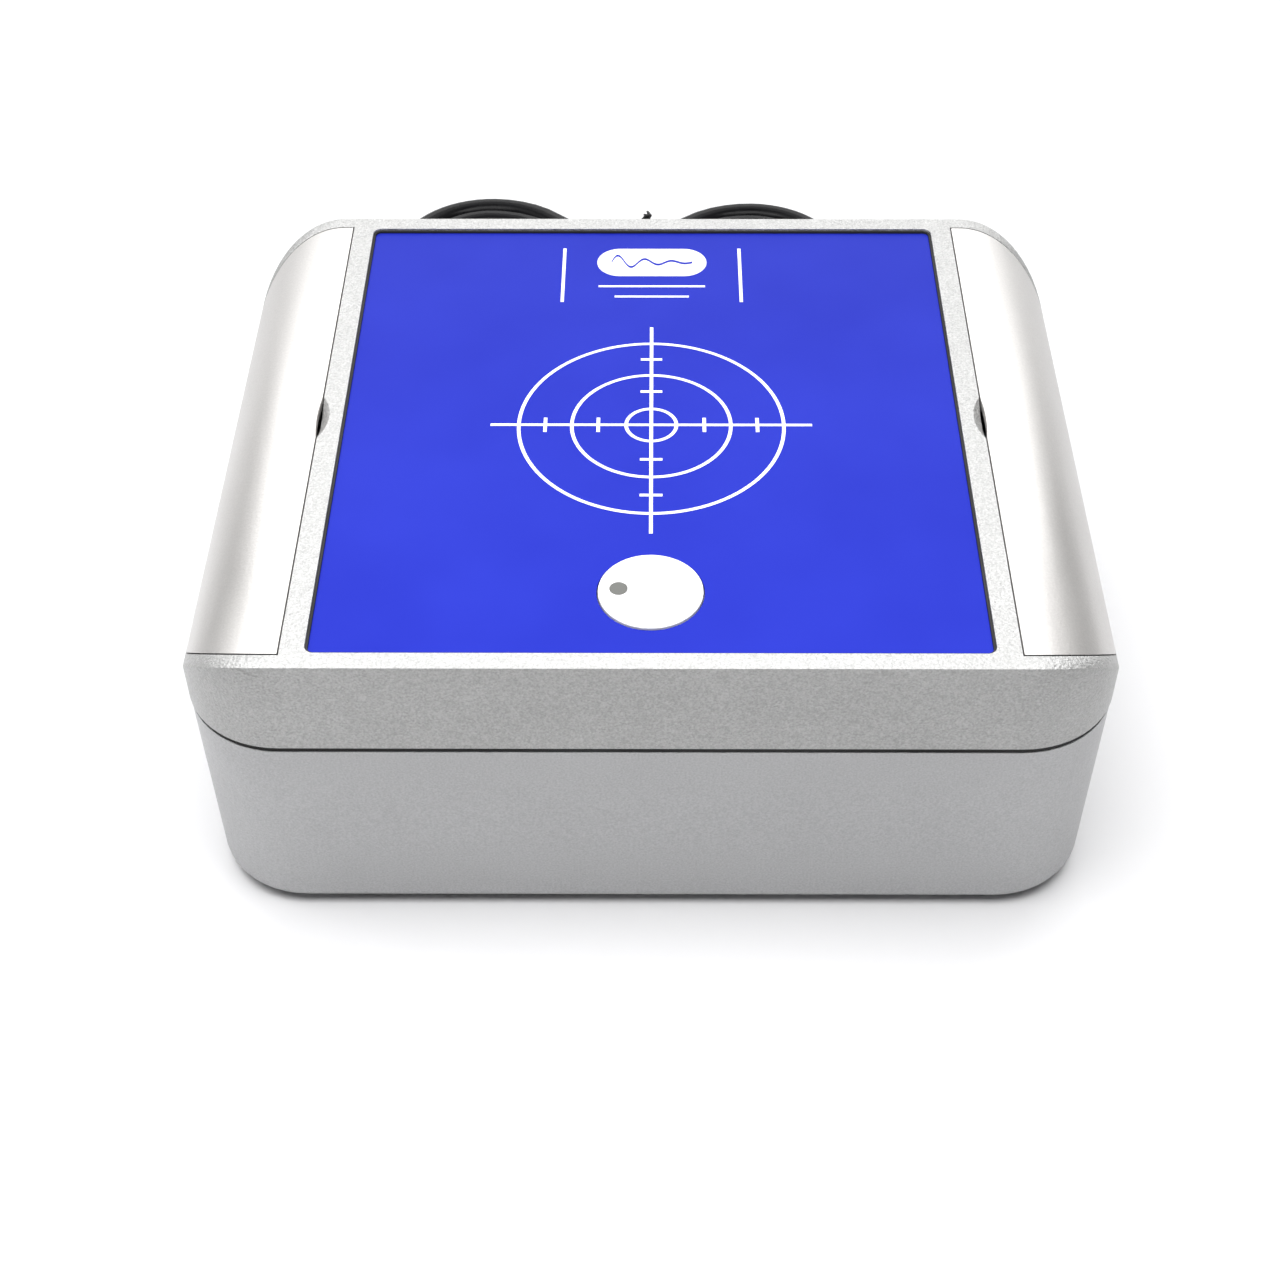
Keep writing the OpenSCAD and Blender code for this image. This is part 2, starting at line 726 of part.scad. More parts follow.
module cord_tie() color([0.1, 0.1, 0.1])
    translate([hank_x, hank_y, 0]) rotate(hank_turn) translate([tie_x, 0, 0]) {
        half = 2 * cord_d + 0.9;
        rotate([90, 0, 90]) linear_extrude(5, center = true) difference() {
            translate([-half, 0]) square([2 * half, hank_h + 1.2]);
            translate([1.2 - half, 1]) square([2 * half - 2.4, hank_h - 1]);
        }
        translate([0, 0, hank_h + 1.2]) block(1, 2, 0, 4, 3, 1.5);
        translate([2, 2.5, hank_h + 2]) rotate([-8, 14, 0]) block(0, 0, 0, 4, 1.2, 8);
    }

module plug_body() color([0.06, 0.06, 0.06]) translate([plug_x, plug_y, plug_z]) {
    rotate([0, 90, 0]) rotate_extrude($fn = 48) polygon(concat([[0, 0], [3.8, 0]],
        [for (i = [0 : 2]) each [[4.4 + 0.2 * i, 1 + 5 * i], [4.5 + 0.2 * i, 3.4 + 5 * i],
            [3.7 + 0.2 * i, 3.8 + 5 * i], [3.8 + 0.2 * i, 5.6 + 5 * i]]],
        [[5.2, 16.5], [5.4, 20], [0, 20]]));
    hull() {
        translate([19, 0, 0]) rotate([0, 90, 0]) cylinder(r = 5.6, h = 1, $fn = 32);
        for (s = [-1, 1]) translate([44, s * (plug_w / 2 - plug_z), 0]) rotate([0, 90, 0])
            cylinder(r = plug_z, h = 2, $fn = 32);
        for (s = [-1, 1]) translate([34, s * (plug_w / 2 - plug_z - 1), 0]) rotate([0, 90, 0])
            cylinder(r = plug_z - 0.6, h = 1, $fn = 32);
    }
}

module plug_pins() color([0.8, 0.8, 0.8])
    for (s = [-1, 1]) translate([plug_x + 46, plug_y + s * 9.5, plug_z])
        rotate([0, 90, 0]) rotate_extrude($fn = 32) polygon(concat(
            [[0, 0], [1.9, 0], [1.9, 10], [2, 10.2], [2, 17]],
            [for (a = [0 : 15 : 90]) [2 * cos(a), 17 + 2 * sin(a)]]));

base_shell();
lid_shell();
lid_seal();
rubber_feet();
left_cover();
right_cover();
left_hinge_pins();
right_hinge_pins();
threaded_inserts();
lid_screws();
panel_gasket();
front_panel();
target_print();
badge_print();
badge_wave();
button_cap();
led_window();
button_clip();
switch_plunger();
key_switch();
status_led();
button_board();
button_board_screws();
coil_former();
work_coil();
coil_screws();
main_board();
board_screws();
storage_capacitors();
bridge_rectifier();
power_thyristor();
heat_sink();
charge_resistor();
mains_transformer();
film_capacitor();
control_chip();
fuse_clips();
glass_fuse();
terminal_block();
ribbon_cable();
coil_leads();
mains_leads();
strain_relief();
relief_clip();
mains_cord_start();
mains_cord_end();
cord_hank();
cord_tie();
plug_body();
plug_pins();
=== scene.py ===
"""Looks of a pulse demagnetizer for a watchmaker's bench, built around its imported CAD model.

The object stands on the floor at z = 0 with its front towards -Y. Everything is in metres.
"""
import json
import math

import bmesh
import bpy
from mathutils import Matrix, Vector

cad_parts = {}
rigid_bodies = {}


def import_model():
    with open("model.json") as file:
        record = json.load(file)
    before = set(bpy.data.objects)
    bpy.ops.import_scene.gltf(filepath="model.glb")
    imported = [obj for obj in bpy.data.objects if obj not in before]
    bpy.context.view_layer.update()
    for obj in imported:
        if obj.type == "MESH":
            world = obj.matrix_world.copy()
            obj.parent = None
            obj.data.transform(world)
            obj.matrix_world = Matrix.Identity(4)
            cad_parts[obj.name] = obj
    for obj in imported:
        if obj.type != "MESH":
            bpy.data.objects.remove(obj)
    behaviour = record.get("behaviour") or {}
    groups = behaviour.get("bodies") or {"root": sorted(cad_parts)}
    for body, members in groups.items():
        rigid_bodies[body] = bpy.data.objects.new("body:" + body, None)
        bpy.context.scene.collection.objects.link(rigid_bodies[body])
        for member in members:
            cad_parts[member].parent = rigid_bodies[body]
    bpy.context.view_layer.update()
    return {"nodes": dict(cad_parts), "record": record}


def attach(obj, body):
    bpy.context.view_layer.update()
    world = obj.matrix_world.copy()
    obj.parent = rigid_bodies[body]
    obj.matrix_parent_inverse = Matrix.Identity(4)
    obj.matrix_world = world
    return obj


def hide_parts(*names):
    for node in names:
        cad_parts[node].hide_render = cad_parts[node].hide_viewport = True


for leftover in list(bpy.data.objects):
    bpy.data.objects.remove(leftover)

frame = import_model()
nodes = frame["nodes"]

MM = 0.001
X_AXIS = Vector((1, 0, 0))
Z_AXIS = Vector((0, 0, 1))


# ------------------------------------------------------------------ camera

def make_camera():
    """The photograph's camera, found by fitting the case's edges, panel and rings."""
    data = bpy.data.cameras.new("camera")
    data.sensor_width = 36
    data.lens = 58.42
    data.shift_x = -0.0061
    data.clip_start = 0.01
    camera = bpy.data.objects.new("camera", data)
    camera.location = (0.0010, -0.3666, 0.3774)
    camera.rotation_euler = (math.radians(44.643), math.radians(0.089), math.radians(0.207))
    bpy.context.scene.collection.objects.link(camera)
    bpy.context.scene.camera = camera


# -------------------------------------------------------------- small tools

def add_object(name, data, body):
    """A new piece that rides on a body and takes its finish from a material slot."""
    piece = bpy.data.objects.new(name, data)
    bpy.context.scene.collection.objects.link(piece)
    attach(piece, body)
    return piece


def mesh_from(name, points, faces):
    mesh = bpy.data.meshes.new(name)
    mesh.from_pydata([tuple(p) for p in points], [], faces)
    mesh.update()
    mesh.shade_smooth()
    return mesh


def skin(name, rings):
    """A closed mesh over rings that each have the same number of points."""
    n = len(rings[0])
    points = [p for ring in rings for p in ring]
    faces = [(i * n + k, i * n + (k + 1) % n, (i + 1) * n + (k + 1) % n, (i + 1) * n + k)
             for i in range(len(rings) - 1) for k in range(n)]
    last = (len(rings) - 1) * n
    faces += [tuple(range(n - 1, -1, -1)), tuple(range(last, last + n))]
    mesh = mesh_from(name, points, faces)
    solid = bmesh.new()
    solid.from_mesh(mesh)
    bmesh.ops.recalc_face_normals(solid, faces=solid.faces)
    solid.to_mesh(mesh)
    solid.free()
    return mesh


def joined(name, meshes):
    """One mesh of several, each still closed."""
    solid = bmesh.new()
    for mesh in meshes:
        solid.from_mesh(mesh)
        bpy.data.meshes.remove(mesh)
    whole = bpy.data.meshes.new(name)
    solid.to_mesh(whole)
    solid.free()
    whole.shade_smooth()
    return whole


def tube(name, route, radius, sides):
    """A round tube along a route, turned as little as possible from ring to ring."""
    rings = []
    normal = Z_AXIS
    for i, p in enumerate(route):
        ahead = (route[min(i + 1, len(route) - 1)] - route[max(i - 1, 0)]).normalized()
        normal = (normal - ahead * normal.dot(ahead)).normalized()
        across = ahead.cross(normal)
        rings.append([p + radius * (math.cos(a) * normal + math.sin(a) * across)
                      for a in (2 * math.pi * k / sides for k in range(sides))])
    return skin(name, rings)


def mix(a, b, t):
    return a + (b - a) * t


def spline(points, steps):
    """Points on a smooth curve (Catmull-Rom) through the given points."""
    p = [Vector(q) for q in points]
    p = [2 * p[0] - p[1]] + p + [2 * p[-1] - p[-2]]
    out = []
    for i in range(1, len(p) - 2):
        for k in range(steps):
            t = k / steps
            a, b, c, d = p[i - 1], p[i], p[i + 1], p[i + 2]
            out.append(0.5 * (2 * b + (c - a) * t + (2 * a - 5 * b + 4 * c - d) * t * t
                              + (3 * b - a - 3 * c + d) * t ** 3))
    return out + [p[-2]]


# --------------------------------------------------------------------- cord

CORD_D = 6.4 * MM
CORD_R = CORD_D / 2
HANK_CENTRE = Vector((-0.010, 0.1593, 0))
HANK_TURN = math.radians(-1.8)
HANK_HALF = 0.040
STRAND_STEP = 0.1
STRAND_POINTS = 20
CORD_SIDES = 20
SPLINE_STEPS = 4

# Route from the strain relief to the hank, and from the hank to the plug
LEAD_IN = [
    (0.0600, 0.1080, 0.0160), (0.0600, 0.1130, 0.0160), (0.0600, 0.1180, 0.0160),
    (0.0599, 0.1230, 0.0156), (0.0595, 0.1280, 0.0144), (0.0588, 0.1330, 0.0124),
    (0.0578, 0.1376, 0.0096), (0.0568, 0.1422, 0.0068), (0.0561, 0.1472, 0.0048),
    (0.0557, 0.1522, 0.0036), (0.0556, 0.1572, 0.0032),
]
LEAD_OUT = [
    (-0.0756, 0.1614, 0.0096), (-0.0757, 0.1570, 0.0092), (-0.0758, 0.1520, 0.0081),
    (-0.0759, 0.1474, 0.0064), (-0.0760, 0.1428, 0.0047), (-0.0760, 0.1378, 0.0036),
    (-0.0760, 0.1330, 0.0032), (-0.0750, 0.1260, 0.0032), (-0.0725, 0.1196, 0.0032),
    (-0.0683, 0.1144, 0.0032), (-0.0630, 0.1102, 0.0032), (-0.0567, 0.1078, 0.0032),
    (-0.0505, 0.1070, 0.0033), (-0.0455, 0.1070, 0.0041), (-0.0410, 0.1070, 0.0054),
    (-0.0370, 0.1070, 0.0065), (-0.0335, 0.1070, 0.0070), (-0.0300, 0.1070, 0.0070),
]

# Each turn of the hank in cord diameters: end-loop radius, half width at the waist, height.
# The last one is only half a turn.
TURNS = [(4, 1.5, 0.5), (3, 0.5, 0.5), (3, 0.5, 1.5), (4, 1.5, 1.5)]


# Where along the hank a strand moves over to its next turn's width, and climbs to its height:
# the start of the change in X and its length
FIRST_SHIFT = (0, HANK_HALF)
LATER_SHIFT = (-HANK_HALF, 0.034)
CLIMB = (-0.036, 0.040)


def ease(t):
    """A soft step from 0 to 1."""
    t = min(max(t, 0), 1)
    return t * t * (3 - 2 * t)


def strand_width(x, loop_r, waist):
    """Half width of one turn at x: two equal arcs from the waist to the end loop."""
    rise = loop_r - waist
    arc = (HANK_HALF ** 2 + rise ** 2) / (4 * rise)
    a = min(abs(x), HANK_HALF)
    if a < HANK_HALF / 2:
        return waist + arc - math.sqrt(arc ** 2 - a ** 2)
    return loop_r - arc + math.sqrt(arc ** 2 - (HANK_HALF - a) ** 2)


def loop_points(side, first, last, radius, z, step=6):
    """An arc of the end loop on the given side, in degrees."""
    return [Vector((side * HANK_HALF + radius * math.cos(math.radians(a)),
                    radius * math.sin(math.radians(a)), z)) for a in range(first, last, step)]


def hank_points():
    """The wound turns, counterclockwise from the right-hand end, then half a turn more."""
    points = []
    xs = [HANK_HALF * (1 - STRAND_STEP * i) for i in range(STRAND_POINTS)]
    for k, (loop_d, waist_d, z_d) in enumerate(TURNS):
        radius, waist, z = loop_d * CORD_D, waist_d * CORD_D, z_d * CORD_D
        points += loop_points(1, 0, 90, radius, z)
        points += [Vector((x, strand_width(x, radius, waist), z)) for x in xs]
        if k == len(TURNS) - 1:
            return points + loop_points(-1, 90, 180, radius, z)
        points += loop_points(-1, 90, 270, radius, z)
        next_r, next_waist, next_z = (v * CORD_D for v in TURNS[k + 1])
        for x in (-v for v in xs):
            y = strand_width(x, radius, waist)
            new_y = strand_width(x, next_r, next_waist)
            start, length = FIRST_SHIFT if k == 0 else LATER_SHIFT
            shift = ease((x - start) / length)
            climb_start, climb_length = CLIMB
            climb = ease((x - climb_start) / climb_length)
            points.append(Vector((x, -mix(y, new_y, shift), mix(z, next_z, climb))))
        points += loop_points(1, 270, 360, next_r, next_z)
    return points


def to_world(p):
    """A point of the hank's own frame, turned and moved to its place behind the case."""
    turned = Matrix.Rotation(HANK_TURN, 3, "Z") @ p
    return turned + HANK_CENTRE


def make_cord():
    """The mains lead as one tube, with the route that it follows."""
    wound = [to_world(p) for p in hank_points()]
    route = spline(LEAD_IN, SPLINE_STEPS)[:-1] + wound + spline(LEAD_OUT, SPLINE_STEPS)
    mesh = tube("mains_lead", route, CORD_R, CORD_SIDES)
    lead = add_object("mains_lead", mesh, "case")
    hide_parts("mains_cord_start", "mains_cord_end", "cord_hank")
    return lead, route


# ------------------------------------------------------------- plug and tie

PLUG = Vector((-0.030, 0.107, 0.007))

# The plug's own sizes are in millimetres, along X from the lead to its face
PLUG_SIDES = 64
RIBS = 4
RIB_PITCH = 4.2
RIB_RISE = 0.3
GROOVE = 0.7
BODY_STEPS = 60
BODY_START = 19.4
BODY_LENGTH = 24.6
GRIP_START = 28
GRIP_END = 40
FLUTE_PITCH = 1.6
FLUTE_DEPTH = 0.28
# How square the sections are: 1 is an ellipse, less is squarer
NECK_POWER = 1.0
BODY_POWER = 0.62


def plug_stations():
    """Sections of the plug: place along X, half width and half height."""
    stations = [(0, 3.4, 3.4), (0.4, 3.9, 3.9)]
    for rib in range(RIBS):
        x, r = 1 + RIB_PITCH * rib, 4.3 + 0.2 * rib
        high, low = r + RIB_RISE, r - GROOVE
        stations += [(x, r, r), (x + 0.4, high, high), (x + 2.2, high, high),
                     (x + 2.6, r, r), (x + 3.0, low, low), (x + 3.8, low, low)]
    stations += [(18.2, 5.2, 5.2), (19, 5.6, 5.5)]
    for i in range(BODY_STEPS + 1):
        t = i / BODY_STEPS
        x = BODY_START + BODY_LENGTH * t
        half_w = mix(5.7, 17.3, ease(t * 1.15))
        half_h = mix(5.5, 6.95, ease(t))
        if GRIP_START < x < GRIP_END:
            half_h -= FLUTE_DEPTH * math.sin(math.pi * (x - GRIP_START) / FLUTE_PITCH) ** 2
        stations.append((x, half_w, half_h))
    return stations + [(45.0, 17.4, 6.95), (45.6, 17.2, 6.8), (46, 16.7, 6.3)]


def make_plug():
    """A flat two-pin moulded plug with a ribbed neck and fluted grips."""
    rings = []
    for x, half_w, half_h in plug_stations():
        power = mix(NECK_POWER, BODY_POWER, ease((x - 18) / 16))
        ring = []
        for k in range(PLUG_SIDES):
            a = 2 * math.pi * k / PLUG_SIDES
            c, s = math.cos(a), math.sin(a)
            y = math.copysign(abs(c) ** power, c) * half_w
            z = math.copysign(abs(s) ** power, s) * half_h
            ring.append(PLUG + Vector((x, y, z)) * MM)
        rings.append(ring)
    plug = add_object("mains_plug", skin("mains_plug", rings), "case")
    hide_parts("plug_body")
    return plug


def band(name, path, side, width, thickness):
    """A flat strip along a path. side is the direction of its width at each point."""
    rings = []
    for i, p in enumerate(path):
        ahead = (path[min(i + 1, len(path) - 1)] - path[max(i - 1, 0)]).normalized()
        across = side(i).normalized()
        up = ahead.cross(across).normalized()
        rings.append([p + across * u * width / 2 + up * v * thickness / 2
                      for u, v in ((-1, -0.6), (-0.8, -1), (0.8, -1), (1, -0.6),
                                   (1, 0.6), (0.8, 1), (-0.8, 1), (-1, 0.6))])
    return skin(name, rings)


TIE_X = 0.005
TIE_HALF = 2 * CORD_D + 0.9 * MM
TIE_TOP = 2 * CORD_D + 1.0 * MM
TIE_BOTTOM = 0.7 * MM
TIE_CORNER = 3 * MM
CORNER_POINTS = 7
TIE_WIDTH = 4 * MM
TIE_THICKNESS = 0.9 * MM
TAIL_WIDTH = 2.2 * MM
TAIL_TWIST = 2.2 * math.pi
TAIL_STEPS = 32
TAIL_LEAN = Vector((0.0035, -0.0005, 0.0112))


def tie_outline():
    """The tie's turn round the hank, as a closed path that overlaps itself by one point."""
    corner = TIE_CORNER
    left, right = corner - TIE_HALF, TIE_HALF - corner
    high, low = TIE_TOP - corner, TIE_BOTTOM + corner
    path = []
    for y, z, start in ((right, high, 0), (left, high, 90), (left, low, 180), (right, low, 270)):
        for a in range(start, start + 91, 15):
            path.append(Vector((TIE_X, y + corner * math.cos(math.radians(a)),
                                z + corner * math.sin(math.radians(a)))))
    return path[CORNER_POINTS:] + path[:CORNER_POINTS + 1]


def make_tie():
    """A plastic-covered wire tie: one turn round the hank, its ends twisted together on top."""
    turn = [to_world(p) for p in tie_outline()]
    along = Matrix.Rotation(HANK_TURN, 3, "Z") @ X_AXIS
    parts = [band("tie_turn", turn, lambda i: along, TIE_WIDTH, TIE_THICKNESS)]
    foot = Vector((TIE_X, 0.002, TIE_TOP))
    root, tip = to_world(foot), to_world(foot + TAIL_LEAN)
    for phase in (0, math.pi):
        path, sides = [], []
        for i in range(TAIL_STEPS + 1):
            t = i / TAIL_STEPS
            a = phase + TAIL_TWIST * t
            out = Vector((math.cos(a), math.sin(a), 0))
            spread = mix(0.9, 0.5, t) * MM
            path.append(root.lerp(tip, t) + out * spread)
            sides.append(Vector((-math.sin(a), math.cos(a), 0.3)))
        parts.append(band("tie_tail", path, lambda i: sides[i], TAIL_WIDTH, TIE_THICKNESS))
    tie = add_object("wire_tie", joined("wire_tie", parts), "case")
    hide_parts("cord_tie")
    return tie


# ---------------------------------------------------------------- materials

# A pattern's values from low to high are spread over a finish's whole range
NOISE_LOW = 0.3
NOISE_HIGH = 0.7


class Shader:
    """A Principled material and the few node helpers that the finishes share."""

    def __init__(self, name, color, roughness, metallic=0.0, **sockets):
        self.material = bpy.data.materials.new(name)
        self.material.use_nodes = True
        self.tree = self.material.node_tree
        self.shader = self.tree.nodes["Principled BSDF"]
        self.color = (*color, 1)
        self.set(self.shader, {"Base Color": self.color, "Roughness": roughness,
                               "Metallic": metallic, **sockets})
        self.place = self.add("ShaderNodeTexCoord").outputs["Object"]

    def set(self, node, values):
        for name, value in values.items():
            node.inputs[name].default_value = value

    def add(self, kind, values=None, **settings):
        node = self.tree.nodes.new(kind)
        for name, value in settings.items():
            setattr(node, name, value)
        self.set(node, values or {})
        return node

    def link(self, source, target):
        self.tree.links.new(source, target)

    def stretched(self, scale):
        mapping = self.add("ShaderNodeMapping", {"Scale": scale})
        self.link(self.place, mapping.inputs["Vector"])
        return mapping.outputs["Vector"]

    def noise(self, size, detail=2.0, stretch=None):
        """Noise whose grains are about size metres across."""
        node = self.add("ShaderNodeTexNoise", {"Scale": 1 / size, "Detail": detail})
        self.link(self.place if stretch is None else self.stretched(stretch),
                  node.inputs["Vector"])
        return node.outputs["Fac"]

    def ranged(self, source, low, high, new_low, new_high):
        node = self.add("ShaderNodeMapRange", {"From Min": low, "From Max": high,
                                               "To Min": new_low, "To Max": new_high})
        self.link(source, node.inputs["Value"])
        return node.outputs["Result"]

    def tint(self, source, other, amount):
        """Mixes the base colour with another by up to amount, by a grey pattern."""
        node = self.add("ShaderNodeMix", data_type="RGBA")
        node.inputs["A"].default_value = self.color
        node.inputs["B"].default_value = (*other, 1)
        factor = self.ranged(source, NOISE_LOW, NOISE_HIGH, 0, amount)
        self.link(factor, node.inputs["Factor"])
        self.link(node.outputs["Result"], self.shader.inputs["Base Color"])

    def rough(self, source, low, high):
        value = self.ranged(source, NOISE_LOW, NOISE_HIGH, low, high)
        self.link(value, self.shader.inputs["Roughness"])

    def bump(self, source, height):
        node = self.add("ShaderNodeBump", {"Strength": 1.0, "Distance": height})
        self.link(source, node.inputs["Height"])
        self.link(node.outputs["Normal"], self.shader.inputs["Normal"])


def moulded(name, color, roughness=0.45, grain=0.0008, depth=0.00002, **sockets):
    """Moulded plastic: a fine spark-eroded grain, and a little unevenness in its gloss."""
    s = Shader(name, color, roughness, **sockets)
    fine = s.noise(grain, 3)
    broad = s.noise(grain * 25, 2)
    s.tint(broad, tuple(c * 0.86 for c in color), 0.5)
    s.rough(broad, roughness * 0.88, roughness * 1.12)
    s.bump(fine, depth)
    return s.material


FLAKE_SIZE = 0.00045
GRAIN_SIZE = 0.0007


def silver_lacquer(name, color, roughness, metallic, flake, grain):
    """Silver paint on grained plastic. flake is how dark the gaps between flakes are."""
    s = Shader(name, color, roughness, metallic)
    s.tint(s.noise(FLAKE_SIZE, 2), tuple(c * flake for c in color), 1.0)
    s.rough(s.noise(0.02, 2), roughness - 0.03, roughness + 0.03)
    s.bump(s.noise(GRAIN_SIZE, 2), grain)
    return s.material


def printed_blue():
    """Back-printed blue film with a smooth, slightly satin face."""
    s = Shader("panel_blue", (0.0115, 0.0215, 0.352), 0.36, **{"Specular IOR Level": 0.05})
    s.tint(s.noise(0.03, 2), (0.0145, 0.026, 0.38), 1.0)
    s.bump(s.noise(GRAIN_SIZE, 2), 0.000006)
    return s.material


def metal(name, color, roughness):
    """Bare metal with faint lines across its Z axis."""
    s = Shader(name, color, roughness, metallic=1.0)
    lines = s.noise(0.004, 4, stretch=(1, 1, 12))
    s.tint(lines, tuple(c * 0.7 for c in color), 0.5)
    s.rough(lines, roughness * 0.8, roughness * 1.25)
    s.bump(lines, 0.00001)
    return s.material


LAYER_SCALE = 1 / 0.0009 / 20


def copper_winding():
    """Enamelled wire in even layers round the coil's axis."""
    s = Shader("copper_winding", (0.62, 0.24, 0.10), 0.30, metallic=0.9)
    layers = s.add("ShaderNodeTexWave", {"Scale": LAYER_SCALE, "Distortion": 0.4},
                   bands_direction="Z")
    s.link(s.place, layers.inputs["Vector"])
    s.tint(layers.outputs["Fac"], (0.30, 0.10, 0.04), 0.8)
    s.bump(layers.outputs["Fac"], 0.0003)
    return s.material


def circuit_board():
    """Green solder mask over a maze of tracks."""
    s = Shader("circuit_board", (0.010, 0.13, 0.045), 0.32, **{"Coat Weight": 0.4})
    tracks = s.add("ShaderNodeTexBrick", {"Scale": 120.0, "Mortar Size": 0.06})
    s.link(s.place, tracks.inputs["Vector"])
    s.tint(tracks.outputs["Fac"], (0.02, 0.22, 0.08), 1.0)
    s.bump(tracks.outputs["Fac"], 0.00004)
    return s.material


def cord_jacket():
    """Smooth black flexible jacket, faintly waved by the cores twisted inside."""
    s = Shader("cord_jacket", (0.006, 0.006, 0.007), 0.26, **{"Specular IOR Level": 0.12})
    s.tint(s.noise(0.012, 2), (0.010, 0.010, 0.011), 0.7)
    s.rough(s.noise(0.006, 3), 0.20, 0.30)
    s.bump(s.noise(0.0035, 2), 0.00008)
    return s.material


def clear_glass():
    """The glass of the fuse."""
    s = Shader("fuse_glass", (0.85, 0.88, 0.88), 0.06, **{"Transmission Weight": 0.8})
    s.bump(s.noise(0.004, 2), 0.00001)
    return s.material


def make_materials():
    return {
        "silver_case": silver_lacquer("silver_lid", (0.52, 0.52, 0.515), 0.42, 0.55, 0.70, 0.00036),
        # Black rubber of the lid's seal and the panel's gasket. Partly painted shade: the black
        # that these pieces show in the seam and along the panel recess's walls stands for the shade
        # there.
        "seal_rubber": moulded("seal_rubber", (0.012, 0.012, 0.012), 0.75),
        "steel": metal("zinc_steel", (0.52, 0.53, 0.55), 0.32),
        "brass": metal("brass", (0.65, 0.42, 0.14), 0.30),
        "panel_blue": printed_blue(),
        "print_white": moulded("print_white", (0.86, 0.87, 0.90), 0.38, 0.0006, 0.000004),
        "button_white": moulded("button_white", (0.86, 0.86, 0.87), 0.32, 0.0007, 0.000006),
        "window_grey": moulded("window_grey", (0.10, 0.102, 0.093), 0.22, 0.0008, 0.00001),
        "moulded_black": moulded("moulded_black", (0.02, 0.02, 0.021), 0.5),
        "led_green": moulded("led_green", (0.05, 0.45, 0.10), 0.15, 0.002, 0.000005),
        "circuit_board": circuit_board(),
        "copper_wire": copper_winding(),
        "capacitor_sleeve": moulded("capacitor_sleeve", (0.012, 0.016, 0.07), 0.28),
        "black_aluminium": metal("black_aluminium", (0.035, 0.035, 0.038), 0.42),
        "ceramic": moulded("ceramic", (0.62, 0.60, 0.54), 0.85, 0.0006, 0.00008),
        "transformer_blue": moulded("transformer_blue", (0.02, 0.06, 0.22), 0.4),
        "film_yellow": moulded("film_yellow", (0.60, 0.36, 0.03), 0.35),
        "tinned_metal": metal("tinned_metal", (0.62, 0.62, 0.60), 0.35),
        "fuse_glass": clear_glass(),
        "terminal_green": moulded("terminal_green", (0.015, 0.18, 0.05), 0.45),
        "ribbon_grey": moulded("ribbon_grey", (0.33, 0.33, 0.35), 0.5),
        "lead_red": moulded("lead_red", (0.36, 0.01, 0.01), 0.4),
        "lead_blue": moulded("lead_blue", (0.01, 0.05, 0.30), 0.4),
        "cord_black": cord_jacket(),
        "tie_black": moulded("tie_black", (0.015, 0.015, 0.016), 0.4),
        "plug_black": moulded("plug_black", (0.014, 0.014, 0.015), 0.48, 0.0007, 0.00003),
        "pin_nickel": metal("pin_nickel", (0.70, 0.69, 0.66), 0.18),
    }


# ---------------------------------------------------- finish of the CAD parts

WELD_GAP = 1e-6
FLAT_ANGLE = math.radians(0.6)
EDGE_ANGLE = math.radians(30)


def soften(piece, width, segments=3):
    """Rounds a CAD part's sharp edges with modifiers, which leave its mesh as it is."""
    weld = piece.modifiers.new("weld", "WELD")
    weld.merge_threshold = WELD_GAP
    flat = piece.modifiers.new("flat", "DECIMATE")
    flat.decimate_type = "DISSOLVE"
    flat.angle_limit = FLAT_ANGLE
    bevel = piece.modifiers.new("bevel", "BEVEL")
    bevel.width = width
    bevel.segments = segments
    bevel.limit_method = "ANGLE"
    bevel.angle_limit = EDGE_ANGLE
    bevel.harden_normals = True
    bevel.miter_outer = "MITER_ARC"
    bevel.use_clamp_overlap = True


def finish_cad_parts(materials):
    slots = {s["node"]: s["material_slot"] for s in frame["record"]["subparts"]}
    for name, piece in nodes.items():
        piece.data.materials.clear()
        piece.data.materials.append(materials[slots[name]])
    # Painted shade: the base's copy of the case silver is a little darker and cooler than the
    # lid's, set to the shaded tone of the base's front
    nodes["base_shell"].data.materials[0] = silver_lacquer(
        "silver_base_painted_shade", (0.50, 0.501, 0.507), 0.42, 0.55, 0.80, 0.00016)
    # Painted light: the covers' copy of the case silver is lighter and warmer than the lid's, for
    # the light on their curved tops. Its flakes, grain and gloss differ as well.
    cover = silver_lacquer("silver_cover_painted_light", (0.66, 0.645, 0.63), 0.38, 0.62, 0.92, 0.00004)
    for name in ("left_cover", "right_cover"):
        nodes[name].data.materials[0] = cover
    for name in ("lid_shell", "left_cover", "right_cover"):
        soften(nodes[name], 0.4 * MM)
    soften(nodes["base_shell"], 0.5 * MM)
    soften(nodes["button_cap"], 0.3 * MM, segments=4)
    soften(nodes["plug_pins"], 0.2 * MM, segments=2)


# ------------------------------------------------------------ floor and light

FLOOR_HALF = 3
FADE_START = 0.35
FADE_END = 0.9


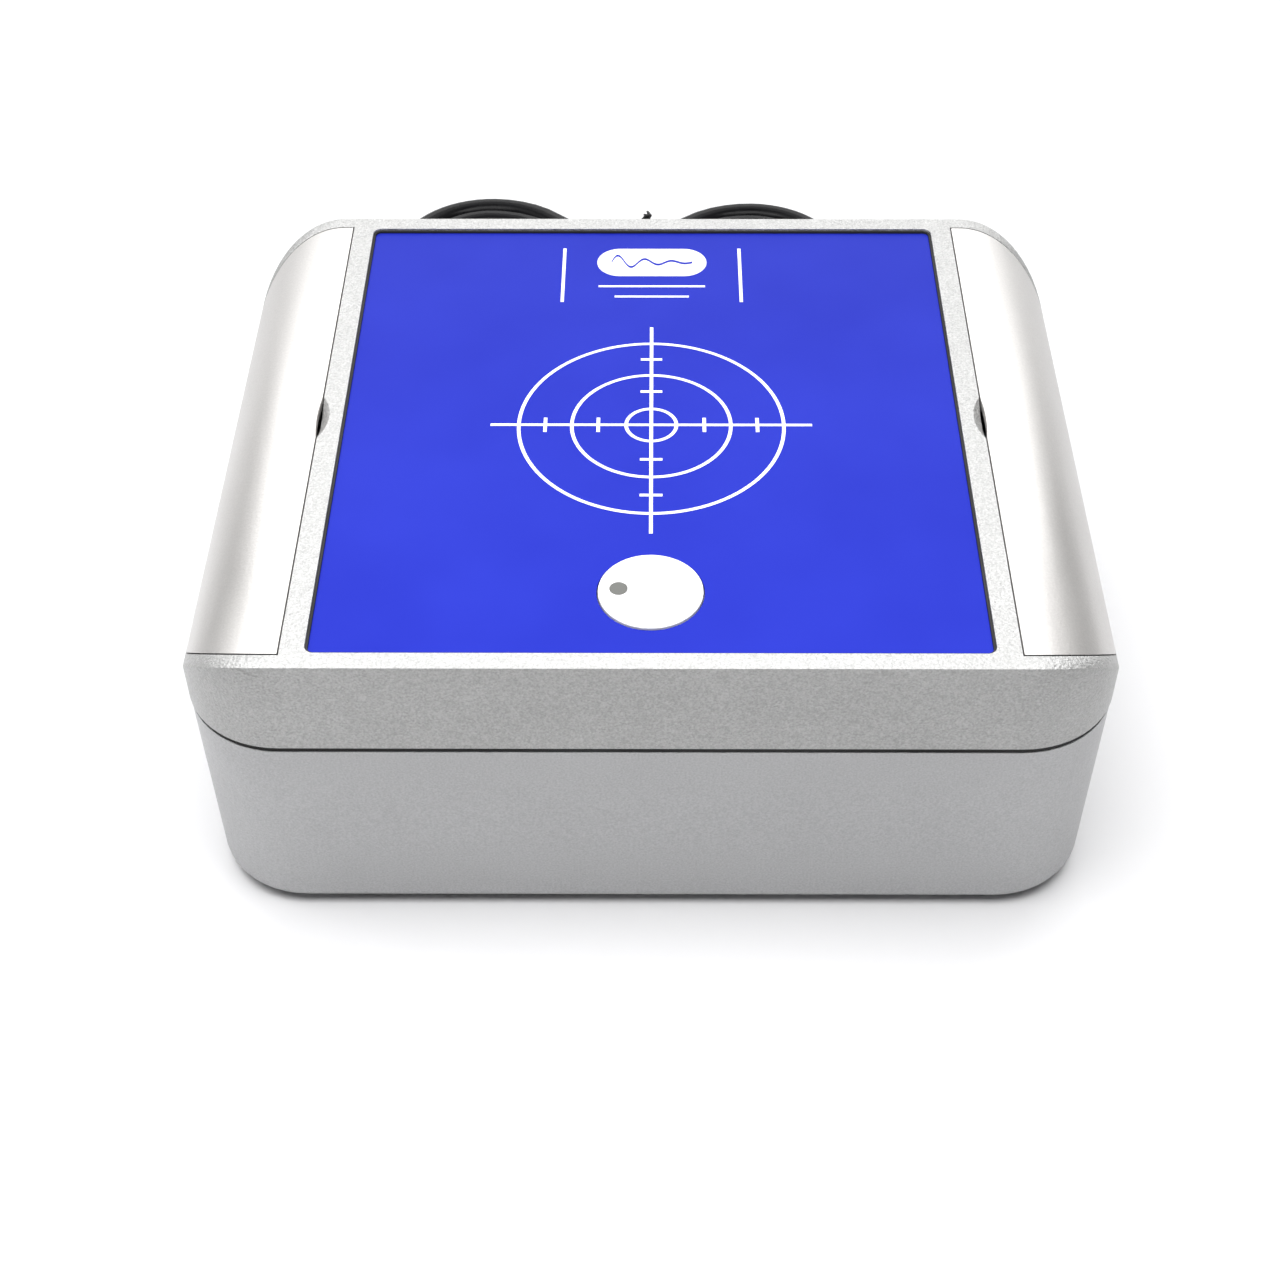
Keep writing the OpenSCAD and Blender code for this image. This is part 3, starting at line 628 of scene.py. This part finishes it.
def make_floor():
    """A pale table that fades into the white of the studio, away from the object."""
    h = FLOOR_HALF
    mesh = mesh_from("floor", [(-h, -h, 0), (h, -h, 0), (h, h, 0), (-h, h, 0)], [(0, 1, 2, 3)])
    floor = bpy.data.objects.new("floor", mesh)
    bpy.context.scene.collection.objects.link(floor)
    s = Shader("floor", (0.86, 0.86, 0.87), 0.6)
    s.tint(s.noise(0.4, 2), (0.84, 0.84, 0.85), 1.0)
    away = s.add("ShaderNodeVectorMath", operation="LENGTH")
    s.link(s.place, away.inputs[0])
    fade = s.add("ShaderNodeMath", operation="MULTIPLY")
    s.link(s.ranged(away.outputs["Value"], FADE_START, FADE_END, 0, 1), fade.inputs[0])
    s.link(s.add("ShaderNodeLightPath").outputs["Is Camera Ray"], fade.inputs[1])
    faded = s.add("ShaderNodeMixShader")
    s.link(fade.outputs[0], faded.inputs["Fac"])
    s.link(s.shader.outputs["BSDF"], faded.inputs[1])
    s.link(s.add("ShaderNodeEmission").outputs["Emission"], faded.inputs[2])
    s.link(faded.outputs["Shader"], s.tree.nodes["Material Output"].inputs["Surface"])
    mesh.materials.append(s.material)


def area_light(name, place, target, size, power):
    """A rectangular light of that many watts, facing its target and unseen by the camera."""
    data = bpy.data.lights.new(name, "AREA")
    data.shape = "RECTANGLE"
    data.size, data.size_y = size
    data.energy = power
    light = bpy.data.objects.new(name, data)
    light.location = place
    direction = Vector(target) - Vector(place)
    light.rotation_euler = direction.to_track_quat("-Z", "Y").to_euler()
    light.visible_camera = False
    bpy.context.scene.collection.objects.link(light)


def make_world():
    """A dim, even fill light, seen by the camera as a white studio wall."""
    world = bpy.data.worlds.new("studio")
    bpy.context.scene.world = world
    world.use_nodes = True
    tree = world.node_tree
    fill = tree.nodes["Background"]
    fill.inputs["Color"].default_value = (1, 1, 1, 1)
    fill.inputs["Strength"].default_value = 0.05
    wall = tree.nodes.new("ShaderNodeBackground")
    wall.inputs["Color"].default_value = (1, 1, 1, 1)
    seen = tree.nodes.new("ShaderNodeMixShader")
    tree.links.new(tree.nodes.new("ShaderNodeLightPath").outputs["Is Camera Ray"],
                   seen.inputs["Fac"])
    tree.links.new(fill.outputs["Background"], seen.inputs[1])
    tree.links.new(wall.outputs["Background"], seen.inputs[2])
    tree.links.new(seen.outputs["Shader"], tree.nodes["World Output"].inputs["Surface"])


def make_lights():
    make_world()
    middle = (0, 0, 0.05)
    area_light("overhead", (0, -0.12, 0.40), (0, -0.07, 0.05), (0.5, 0.25), 2.2)
    area_light("overhead_left", (-0.4, 0, 0.5), middle, (0.3, 0.6), 0.9)
    area_light("overhead_back", (0, 0.5, 0.9), (0, 0.1, 0.05), (1.4, 0.4), 3.4)
    area_light("back_high", (0, 1.1, 0.85), middle, (2.4, 0.5), 12.5)
    area_light("back_low", (0, 1.2, 0.35), middle, (2.4, 0.5), 5.4)


# --------------------------------------------------------------------- build

make_camera()
lead, lead_route = make_cord()
plug = make_plug()
tie = make_tie()
materials = make_materials()
finish_cad_parts(materials)
lead.data.materials.append(materials["cord_black"])
plug.data.materials.append(materials["plug_black"])
tie.data.materials.append(materials["tie_black"])
make_floor()
make_lights()
bpy.context.scene.view_settings.view_transform = "Standard"
